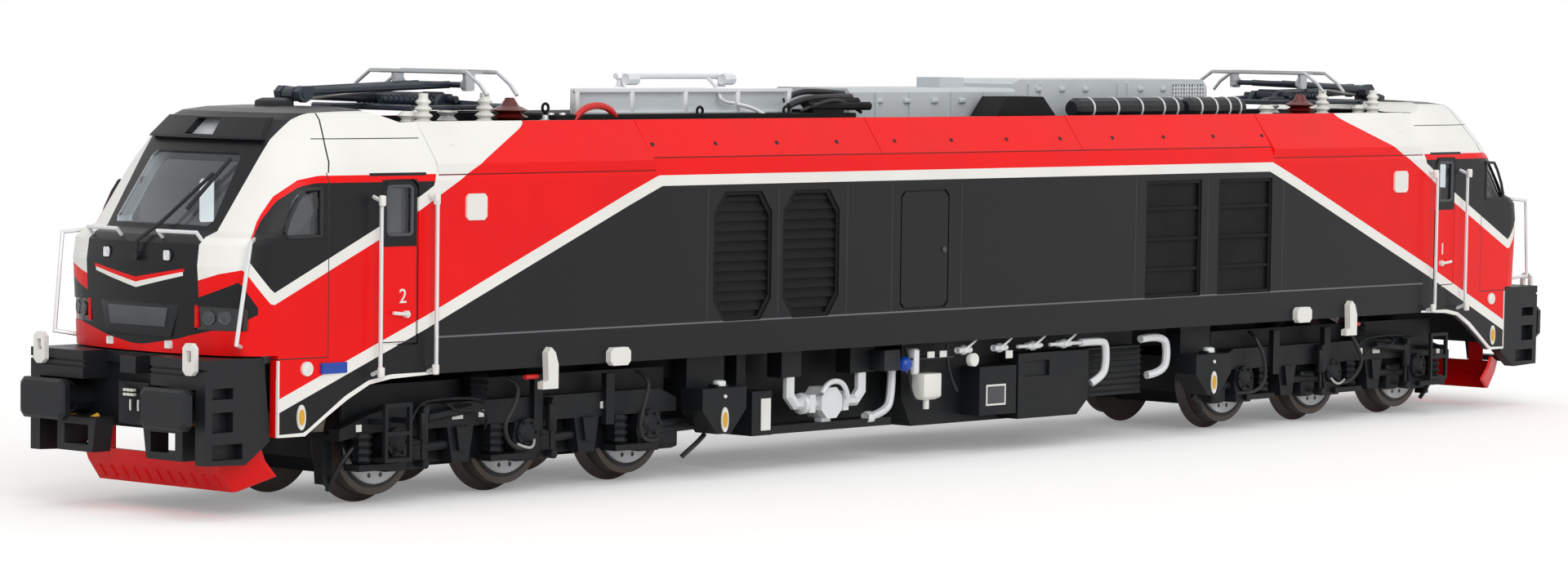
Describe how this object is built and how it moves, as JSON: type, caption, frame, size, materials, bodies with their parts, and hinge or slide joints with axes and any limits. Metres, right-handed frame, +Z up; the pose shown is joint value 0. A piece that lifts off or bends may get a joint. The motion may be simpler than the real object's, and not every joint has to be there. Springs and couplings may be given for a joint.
{
  "type": "scale model electric locomotive",
  "caption": "Scale model of a six-axle electric locomotive with a cab at each end, louvred sides, roof equipment and folding pantographs, on turning wheels and swivelling bogies.",
  "frame": {"origin": "midway along and across, at the lowest point of the wheel flanges", "axes": "+X along the locomotive towards cab 1, +Y across it, +Z up"},
  "size_m": [0.2646, 0.0362, 0.0487],
  "materials": {
    "livery": "satin red, black and white livery",
    "roof_red": "satin red",
    "black_plastic": "matte black",
    "white_plastic": "white",
    "glass": "clear tinted",
    "lamp_glass": "clear",
    "cast_zinc": "blackened casting",
    "wheel_steel": "brown steel tyre and grey disc",
    "plough_red": "gloss red",
    "insulator_brown": "dark red-brown",
    "insulator_white": "white",
    "panto_metal": "dark blue-grey",
    "interior_grey": "dark grey",
    "pale_grey": "pale grey"
  },
  "bodies": {
    "body": {"air_tanks": "black_plastic", "body_shell": "livery", "breaker_insulators": "insulator_brown", "buffer_beam_1": "black_plastic", "buffer_beam_2": "black_plastic", "buffers_1": "black_plastic", "buffers_2": "black_plastic", "cab_interior_1": "interior_grey", "cab_interior_2": "interior_grey", "coolant_pumps": "pale_grey", "cooler_shroud": "pale_grey", "cooler_tray": "black_plastic", "equipment_boxes": "black_plastic", "exhaust_stack": "black_plastic", "handrails": "white_plastic", "headlamps": "lamp_glass", "lamp_irons": "white_plastic", "panto_base_1": "panto_metal", "panto_base_2": "panto_metal", "panto_insulators_1": "insulator_white", "panto_insulators_2": "insulator_white", "pump_tray": "black_plastic", "roof_bus": "pale_grey", "roof_duct": "pale_grey", "roof_hatch_1": "roof_red", "roof_hatch_2": "roof_red", "roof_hatch_3": "roof_red", "roof_hood_1": "roof_red", "roof_hood_2": "roof_red", "roof_pipes": "black_plastic", "sandboxes": "black_plastic", "side_fittings": "white_plastic", "side_glazing": "glass", "side_grilles": "black_plastic", "snow_plough_1": "plough_red", "snow_plough_2": "plough_red", "top_lamps": "lamp_glass", "underfloor_tank": "black_plastic", "underframe": "cast_zinc", "windscreen_1": "glass", "windscreen_2": "glass", "wiper_1": "black_plastic", "wiper_2": "black_plastic"},
    "bogie_1": {"bogie_1_frame": "black_plastic"},
    "bogie_2": {"bogie_2_frame": "black_plastic"},
    "panto_head_1": {"panto_head_1": "panto_metal"},
    "panto_head_2": {"panto_head_2": "panto_metal"},
    "panto_lower_1": {"panto_lower_arm_1": "panto_metal"},
    "panto_lower_2": {"panto_lower_arm_2": "panto_metal"},
    "panto_upper_1": {"panto_upper_arm_1": "panto_metal"},
    "panto_upper_2": {"panto_upper_arm_2": "panto_metal"},
    "wheelset_1": {"wheelset_1": "wheel_steel"},
    "wheelset_2": {"wheelset_2": "wheel_steel"},
    "wheelset_3": {"wheelset_3": "wheel_steel"},
    "wheelset_4": {"wheelset_4": "wheel_steel"},
    "wheelset_5": {"wheelset_5": "wheel_steel"},
    "wheelset_6": {"wheelset_6": "wheel_steel"}
  },
  "joints": [
    {"name": "bogie_1_swivel", "type": "hinge", "parent": "body", "child": "bogie_1", "pos_m": [0.0799, 0, 0.0124], "axis": [0, 0, 1], "range_deg": [-3, 3]},
    {"name": "wheelset_1_roll", "type": "hinge", "parent": "bogie_1", "child": "wheelset_1", "pos_m": [0.1006, 0, 0.00713], "axis": [0, 1, 0], "continuous": true},
    {"name": "wheelset_2_roll", "type": "hinge", "parent": "bogie_1", "child": "wheelset_2", "pos_m": [0.0799, 0, 0.00713], "axis": [0, 1, 0], "continuous": true},
    {"name": "wheelset_3_roll", "type": "hinge", "parent": "bogie_1", "child": "wheelset_3", "pos_m": [0.0592, 0, 0.00713], "axis": [0, 1, 0], "continuous": true},
    {"name": "bogie_2_swivel", "type": "hinge", "parent": "body", "child": "bogie_2", "pos_m": [-0.0799, 0, 0.0124], "axis": [0, 0, 1], "range_deg": [-3, 3]},
    {"name": "wheelset_4_roll", "type": "hinge", "parent": "bogie_2", "child": "wheelset_4", "pos_m": [-0.1006, 0, 0.00713], "axis": [0, 1, 0], "continuous": true},
    {"name": "wheelset_5_roll", "type": "hinge", "parent": "bogie_2", "child": "wheelset_5", "pos_m": [-0.0799, 0, 0.00713], "axis": [0, 1, 0], "continuous": true},
    {"name": "wheelset_6_roll", "type": "hinge", "parent": "bogie_2", "child": "wheelset_6", "pos_m": [-0.0592, 0, 0.00713], "axis": [0, 1, 0], "continuous": true},
    {"name": "panto_1_raise", "type": "hinge", "parent": "body", "child": "panto_lower_1", "pos_m": [0.0821, 0, 0.0453], "axis": [0, -1, 0], "range_deg": [0, 40]},
    {"name": "panto_1_knee", "type": "hinge", "parent": "panto_lower_1", "child": "panto_upper_1", "pos_m": [0.1043, 0, 0.0459], "axis": [0, -1, 0], "range_deg": [-82, 0]},
    {"name": "panto_1_level", "type": "hinge", "parent": "panto_upper_1", "child": "panto_head_1", "pos_m": [0.0821, 0, 0.047], "axis": [0, -1, 0], "range_deg": [0, 42]},
    {"name": "panto_2_raise", "type": "hinge", "parent": "body", "child": "panto_lower_2", "pos_m": [-0.0821, 0, 0.0453], "axis": [0, 1, 0], "range_deg": [0, 40]},
    {"name": "panto_2_knee", "type": "hinge", "parent": "panto_lower_2", "child": "panto_upper_2", "pos_m": [-0.1043, 0, 0.0459], "axis": [0, 1, 0], "range_deg": [-82, 0]},
    {"name": "panto_2_level", "type": "hinge", "parent": "panto_upper_2", "child": "panto_head_2", "pos_m": [-0.0821, 0, 0.047], "axis": [0, 1, 0], "range_deg": [0, 42]}
  ],
  "couplings": [
    {"joint": "panto_1_knee", "follows": "panto_1_raise", "ratio": -2},
    {"joint": "panto_1_level", "follows": "panto_1_raise", "ratio": 1},
    {"joint": "panto_2_knee", "follows": "panto_2_raise", "ratio": -2},
    {"joint": "panto_2_level", "follows": "panto_2_raise", "ratio": 1}
  ]
}
